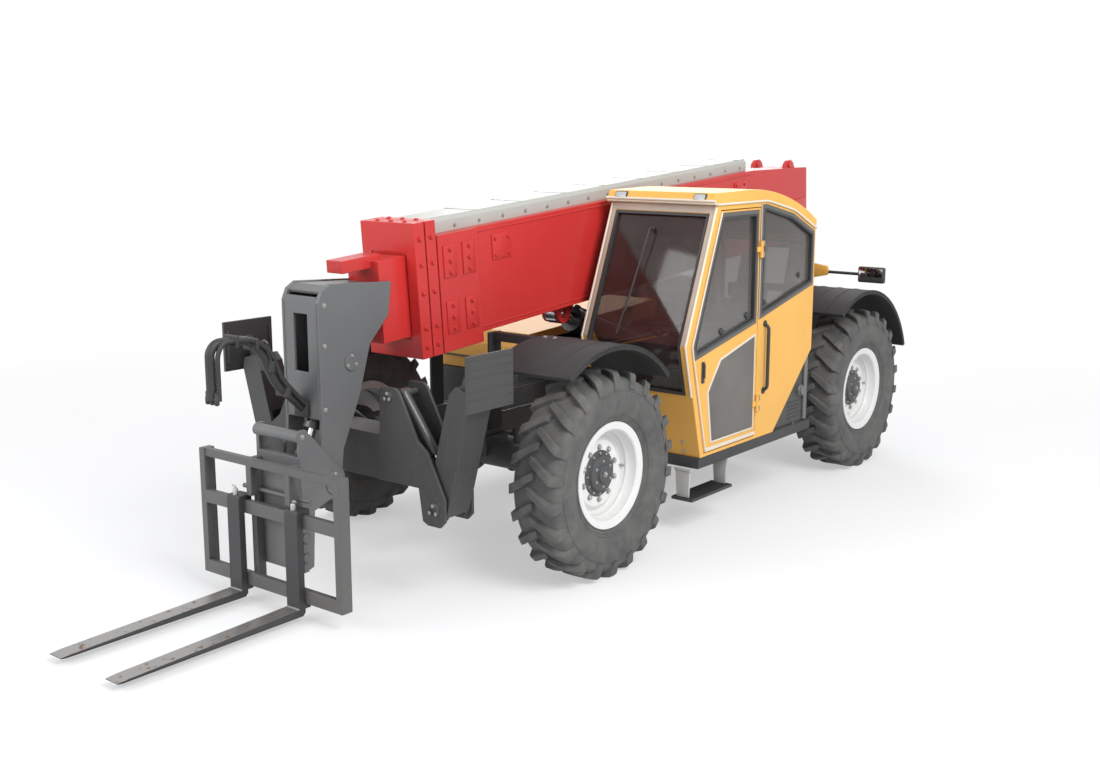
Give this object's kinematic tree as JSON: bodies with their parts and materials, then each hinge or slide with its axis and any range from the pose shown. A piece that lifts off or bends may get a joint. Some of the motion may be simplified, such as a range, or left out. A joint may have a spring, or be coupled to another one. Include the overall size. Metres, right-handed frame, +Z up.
{
  "type": "telescopic handler",
  "caption": "Four-wheel-steer telescopic handler with a stacked box boom, side cab, front outriggers and a carriage with pallet forks.",
  "frame": {"origin": "on the ground under the centreline, at the middle of the overall length from fork tips to counterweight", "axes": "+X to the left of the machine, -Y to its front, +Z up"},
  "size_m": [2.5642, 7.6154, 2.5685],
  "materials": {
    "frame_grey": "satin dark grey paint",
    "boom_red": "semi-gloss red paint",
    "body_yellow": "semi-gloss amber yellow paint",
    "tray_grey": "satin light grey paint",
    "head_grey": "satin mid grey paint",
    "rim_white": "gloss off-white paint",
    "tyre": "deep-lug rubber",
    "glass": "lightly tinted safety glass",
    "chrome_rod": "hard chrome",
    "ram_black": "satin black paint",
    "seat_fabric": "dark woven cloth over foam",
    "black_plastic": "moulded black plastic",
    "engine_iron": "painted cast iron"
  },
  "bodies": {
    "chassis": {"chassis_frame": "frame_grey", "front_bridge": "frame_grey", "counterweight": "frame_grey", "front_axle": "frame_grey", "rear_axle": "frame_grey", "cab_frame": "body_yellow", "cab_roof": "body_yellow", "cab_glass": "glass", "operator_seat": "seat_fabric", "steering_console": "black_plastic", "engine": "engine_iron", "engine_cradle": "frame_grey", "fuel_tank": "frame_grey", "fenders": "black_plastic", "cab_platform": "frame_grey", "cab_step": "frame_grey", "rear_mirror": "black_plastic"},
    "cab_door": {"cab_door": "body_yellow", "door_glass": "glass"},
    "engine_hood": {"engine_hood": "body_yellow"},
    "boom": {"outer_boom": "boom_red", "hose_tray": "tray_grey"},
    "boom_section_2": {"boom_section_2": "boom_red"},
    "boom_section_3": {"boom_section_3": "boom_red"},
    "boom_section_4": {"boom_section_4": "boom_red", "boom_head": "head_grey", "hose_arm": "black_plastic"},
    "lift_barrel": {"lift_cylinder_barrel": "ram_black"},
    "lift_rod": {"lift_cylinder_rod": "chrome_rod"},
    "tilt_barrel": {"tilt_cylinder_barrel": "ram_black"},
    "tilt_rod": {"tilt_cylinder_rod": "chrome_rod"},
    "coupler": {"coupler": "head_grey", "fork_carriage": "frame_grey"},
    "left_fork": {"left_fork": "frame_grey"},
    "right_fork": {"right_fork": "frame_grey"},
    "front_left_knuckle": {"front_left_knuckle": "frame_grey"},
    "front_left_wheel": {"front_left_rim": "rim_white", "front_left_tyre": "tyre"},
    "front_right_knuckle": {"front_right_knuckle": "frame_grey"},
    "front_right_wheel": {"front_right_rim": "rim_white", "front_right_tyre": "tyre"},
    "rear_left_knuckle": {"rear_left_knuckle": "frame_grey"},
    "rear_left_wheel": {"rear_left_rim": "rim_white", "rear_left_tyre": "tyre"},
    "rear_right_knuckle": {"rear_right_knuckle": "frame_grey"},
    "rear_right_wheel": {"rear_right_rim": "rim_white", "rear_right_tyre": "tyre"},
    "left_outrigger": {"left_outrigger": "frame_grey"},
    "left_outrigger_foot": {"left_outrigger_foot": "frame_grey"},
    "left_outrigger_barrel": {"left_outrigger_barrel": "ram_black"},
    "left_outrigger_rod": {"left_outrigger_rod": "chrome_rod"},
    "right_outrigger": {"right_outrigger": "frame_grey"},
    "right_outrigger_foot": {"right_outrigger_foot": "frame_grey"},
    "right_outrigger_barrel": {"right_outrigger_barrel": "ram_black"},
    "right_outrigger_rod": {"right_outrigger_rod": "chrome_rod"}
  },
  "joints": [
    {"name": "front_left_steer", "type": "hinge", "parent": "chassis", "child": "front_left_knuckle", "pos_m": [0.8, -0.82235, 0.665], "axis": [0, 0, 1], "range_deg": [-35, 35]},
    {"name": "front_left_roll", "type": "hinge", "parent": "front_left_knuckle", "child": "front_left_wheel", "pos_m": [1.1, -0.82235, 0.665], "axis": [1, 0, 0], "continuous": true},
    {"name": "front_right_steer", "type": "hinge", "parent": "chassis", "child": "front_right_knuckle", "pos_m": [-0.8, -0.82235, 0.665], "axis": [0, 0, 1], "range_deg": [-35, 35]},
    {"name": "front_right_roll", "type": "hinge", "parent": "front_right_knuckle", "child": "front_right_wheel", "pos_m": [-1.1, -0.82235, 0.665], "axis": [1, 0, 0], "continuous": true},
    {"name": "rear_left_steer", "type": "hinge", "parent": "chassis", "child": "rear_left_knuckle", "pos_m": [0.8, 2.77765, 0.665], "axis": [0, 0, 1], "range_deg": [-35, 35]},
    {"name": "rear_left_roll", "type": "hinge", "parent": "rear_left_knuckle", "child": "rear_left_wheel", "pos_m": [1.1, 2.77765, 0.665], "axis": [1, 0, 0], "continuous": true},
    {"name": "rear_right_steer", "type": "hinge", "parent": "chassis", "child": "rear_right_knuckle", "pos_m": [-0.8, 2.77765, 0.665], "axis": [0, 0, 1], "range_deg": [-35, 35]},
    {"name": "rear_right_roll", "type": "hinge", "parent": "rear_right_knuckle", "child": "rear_right_wheel", "pos_m": [-1.1, 2.77765, 0.665], "axis": [1, 0, 0], "continuous": true},
    {"name": "door_swing", "type": "hinge", "parent": "chassis", "child": "cab_door", "pos_m": [1.214, 1.04065, 1.4], "axis": [0, 0, 1], "range_deg": [0, 120]},
    {"name": "hood_lift", "type": "hinge", "parent": "chassis", "child": "engine_hood", "pos_m": [-0.32, 1.00765, 1.215], "axis": [0, 1, 0], "range_deg": [0, 60]},
    {"name": "boom_lift", "type": "hinge", "parent": "chassis", "child": "boom", "pos_m": [0, 3.57765, 1.78], "axis": [-1, 0, 0], "range_deg": [0, 72]},
    {"name": "boom_extend", "type": "slide", "parent": "boom", "child": "boom_section_2", "axis": [0, -0.9969, -0.0785], "range_m": [0, 3.3]},
    {"name": "section_3_slide", "type": "slide", "parent": "boom_section_2", "child": "boom_section_3", "axis": [0, -0.9969, -0.0785], "range_m": [0, 3.3]},
    {"name": "section_4_slide", "type": "slide", "parent": "boom_section_3", "child": "boom_section_4", "axis": [0, -0.9969, -0.0785], "range_m": [0, 3.3]},
    {"name": "lift_barrel_pivot", "type": "hinge", "parent": "chassis", "child": "lift_barrel", "pos_m": [0, 2.42765, 0.7], "axis": [-1, 0, 0], "range_deg": [-1, 69]},
    {"name": "lift_rod_slide", "type": "slide", "parent": "lift_barrel", "child": "lift_rod", "axis": [0, -0.9441, 0.3298], "range_m": [-0.001, 1.845]},
    {"name": "coupler_tilt", "type": "hinge", "parent": "boom_section_4", "child": "coupler", "pos_m": [0, -2.20235, 0.74], "axis": [1, 0, 0], "range_deg": [-15, 100]},
    {"name": "tilt_barrel_pivot", "type": "hinge", "parent": "boom_section_4", "child": "tilt_barrel", "pos_m": [0, -2.01235, 1.44], "axis": [1, 0, 0], "range_deg": [-1, 2]},
    {"name": "tilt_rod_slide", "type": "slide", "parent": "tilt_barrel", "child": "tilt_rod", "axis": [0, -0.4067, -0.9135], "range_m": [-0.04, 0.25]},
    {"name": "left_fork_slide", "type": "slide", "parent": "coupler", "child": "left_fork", "axis": [1, 0, 0], "range_m": [-0.14, 0.25]},
    {"name": "right_fork_slide", "type": "slide", "parent": "coupler", "child": "right_fork", "axis": [-1, 0, 0], "range_m": [-0.14, 0.25]},
    {"name": "left_outrigger_swing", "type": "hinge", "parent": "chassis", "child": "left_outrigger", "pos_m": [0.74, -1.79735, 0.6], "axis": [0, 1, 0], "range_deg": [0, 109]},
    {"name": "left_outrigger_foot_tilt", "type": "hinge", "parent": "left_outrigger", "child": "left_outrigger_foot", "pos_m": [0.96, -1.79735, 1.4], "axis": [0, -1, 0], "range_deg": [-15, 20]},
    {"name": "left_outrigger_barrel_pivot", "type": "hinge", "parent": "chassis", "child": "left_outrigger_barrel", "pos_m": [0.38, -1.79735, 1.24], "axis": [0, -1, 0], "range_deg": [-1, 2]},
    {"name": "left_outrigger_rod_slide", "type": "slide", "parent": "left_outrigger_barrel", "child": "left_outrigger_rod", "axis": [0.6001, 0, -0.8], "range_m": [-0.001, 0.3]},
    {"name": "right_outrigger_swing", "type": "hinge", "parent": "chassis", "child": "right_outrigger", "pos_m": [-0.74, -1.79735, 0.6], "axis": [0, -1, 0], "range_deg": [0, 109]},
    {"name": "right_outrigger_foot_tilt", "type": "hinge", "parent": "right_outrigger", "child": "right_outrigger_foot", "pos_m": [-0.96, -1.79735, 1.4], "axis": [0, 1, 0], "range_deg": [-15, 20]},
    {"name": "right_outrigger_barrel_pivot", "type": "hinge", "parent": "chassis", "child": "right_outrigger_barrel", "pos_m": [-0.38, -1.79735, 1.24], "axis": [0, 1, 0], "range_deg": [-1, 2]},
    {"name": "right_outrigger_rod_slide", "type": "slide", "parent": "right_outrigger_barrel", "child": "right_outrigger_rod", "axis": [-0.6001, 0, -0.8], "range_m": [-0.001, 0.3]}
  ],
  "couplings": [
    {"joint": "front_right_steer", "follows": "front_left_steer", "ratio": 1},
    {"joint": "rear_right_steer", "follows": "rear_left_steer", "ratio": 1},
    {"joint": "section_3_slide", "follows": "boom_extend", "ratio": 1},
    {"joint": "section_4_slide", "follows": "boom_extend", "ratio": 1},
    {"joint": "lift_barrel_pivot", "follows": "boom_lift", "ratio": 0.9486},
    {"joint": "lift_rod_slide", "follows": "boom_lift", "m_per_rad": 1.4668},
    {"joint": "tilt_barrel_pivot", "follows": "coupler_tilt", "ratio": 0.0104},
    {"joint": "tilt_rod_slide", "follows": "coupler_tilt", "m_per_rad": 0.14021},
    {"joint": "left_outrigger_barrel_pivot", "follows": "left_outrigger_swing", "ratio": 0.0101},
    {"joint": "left_outrigger_rod_slide", "follows": "left_outrigger_swing", "m_per_rad": 0.15389},
    {"joint": "right_outrigger_barrel_pivot", "follows": "right_outrigger_swing", "ratio": 0.0101},
    {"joint": "right_outrigger_rod_slide", "follows": "right_outrigger_swing", "m_per_rad": 0.15389}
  ]
}
